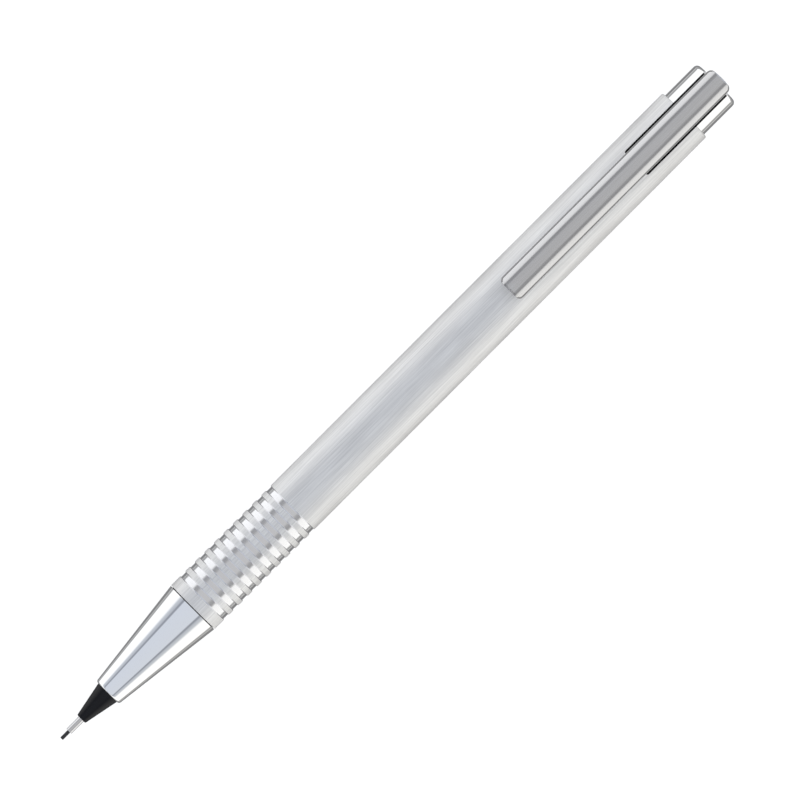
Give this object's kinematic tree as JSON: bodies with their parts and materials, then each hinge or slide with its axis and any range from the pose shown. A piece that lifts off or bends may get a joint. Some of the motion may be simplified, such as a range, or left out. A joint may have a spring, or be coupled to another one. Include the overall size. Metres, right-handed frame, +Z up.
{
  "type": "mechanical pencil",
  "caption": "Push-button mechanical pencil with a slotted metal barrel, ringed grip, chrome nose cone, three-jaw lead clutch and sprung pocket clip.",
  "frame": {"origin": "under the middle of the pencil, on the surface that it lies on with its clip up", "axes": "-X towards the lead's point, +X towards the push button, +Z up through the clip"},
  "size_m": [0.1368, 0.0091, 0.0117],
  "materials": {
    "brushed_barrel": "stainless tube with a fine lengthwise brush, bare metal",
    "clip_steel": "bright drawn stainless sheet, softly polished",
    "polished_steel": "ground and polished stainless",
    "chrome_plate": "mirror chrome on turned metal",
    "black_plastic": "black moulded plastic, satin",
    "grey_plastic": "translucent grey moulded plastic, drawn opaque",
    "grommet_rubber": "soft black rubber",
    "brass": "turned brass, bare",
    "turned_aluminium": "turned aluminium, bare",
    "spring_steel": "bright spring wire",
    "graphite": "graphite and polymer lead, dark grey with a slight sheen",
    "eraser_vinyl": "white vinyl eraser, matte"
  },
  "bodies": {
    "barrel": {"barrel": "brushed_barrel", "front_bush": "brass", "clutch_housing": "turned_aluminium", "return_spring": "spring_steel"},
    "nose": {"nose_cone": "chrome_plate", "tip_insert": "black_plastic", "guide_sleeve": "polished_steel", "lead_retainer": "grommet_rubber"},
    "lead": {"writing_lead": "graphite"},
    "carriage": {"chuck_body": "brass", "chuck_connector": "grey_plastic", "lead_reservoir": "grey_plastic", "spare_leads": "graphite", "eraser_ferrule": "turned_aluminium", "eraser": "eraser_vinyl"},
    "ring": {"chuck_ring": "brass"},
    "jaw_1": {"chuck_jaw_1": "brass"},
    "jaw_2": {"chuck_jaw_2": "brass"},
    "jaw_3": {"chuck_jaw_3": "brass"},
    "button": {"button_core": "black_plastic", "push_button": "chrome_plate", "clip_pin": "polished_steel", "clip_spring": "spring_steel"},
    "clip": {"clip": "clip_steel"}
  },
  "joints": [
    {"name": "nose_draw", "type": "slide", "parent": "barrel", "child": "nose", "axis": [-1, 0, 0], "range_m": [0, 0.036]},
    {"name": "lead_feed", "type": "slide", "parent": "barrel", "child": "lead", "axis": [-1, 0, 0], "range_m": [-0.0015, 0.006]},
    {"name": "push", "type": "slide", "parent": "barrel", "child": "carriage", "axis": [-1, 0, 0], "range_m": [0, 0.0028], "stiffness_N_per_m": 400, "springref_m": -0.004, "deforming": ["return_spring"]},
    {"name": "ring_slide", "type": "slide", "parent": "barrel", "child": "ring", "axis": [-1, 0, 0], "range_m": [0, 0.0008]},
    {"name": "jaw_1_open", "type": "hinge", "parent": "carriage", "child": "jaw_1", "pos_m": [-0.04138, 0, 0.0055], "axis": [0, 1, 0], "range_deg": [0, 1.5]},
    {"name": "jaw_2_open", "type": "hinge", "parent": "carriage", "child": "jaw_2", "pos_m": [-0.04138, -0.00082, 0.00407], "axis": [0, -0.5, 0.866], "range_deg": [0, 1.5]},
    {"name": "jaw_3_open", "type": "hinge", "parent": "carriage", "child": "jaw_3", "pos_m": [-0.04138, 0.00082, 0.00407], "axis": [0, -0.5, -0.866], "range_deg": [0, 1.5]},
    {"name": "button_pull", "type": "slide", "parent": "carriage", "child": "button", "axis": [1, 0, 0], "range_m": [0, 0.02]},
    {"name": "clip_tilt", "type": "hinge", "parent": "button", "child": "clip", "pos_m": [0.06243, 0, 0.00785], "axis": [0, 1, 0], "range_deg": [0, 3], "stiffness_Nm_per_rad": 1.5, "springref_deg": -1.15, "deforming": ["clip_spring"]}
  ],
  "couplings": [
    {"joint": "ring_slide", "follows": "push", "ratio": 0.2857},
    {"joint": "jaw_1_open", "follows": "push", "rad_per_m": 9.3},
    {"joint": "jaw_2_open", "follows": "push", "rad_per_m": 9.3},
    {"joint": "jaw_3_open", "follows": "push", "rad_per_m": 9.3}
  ]
}
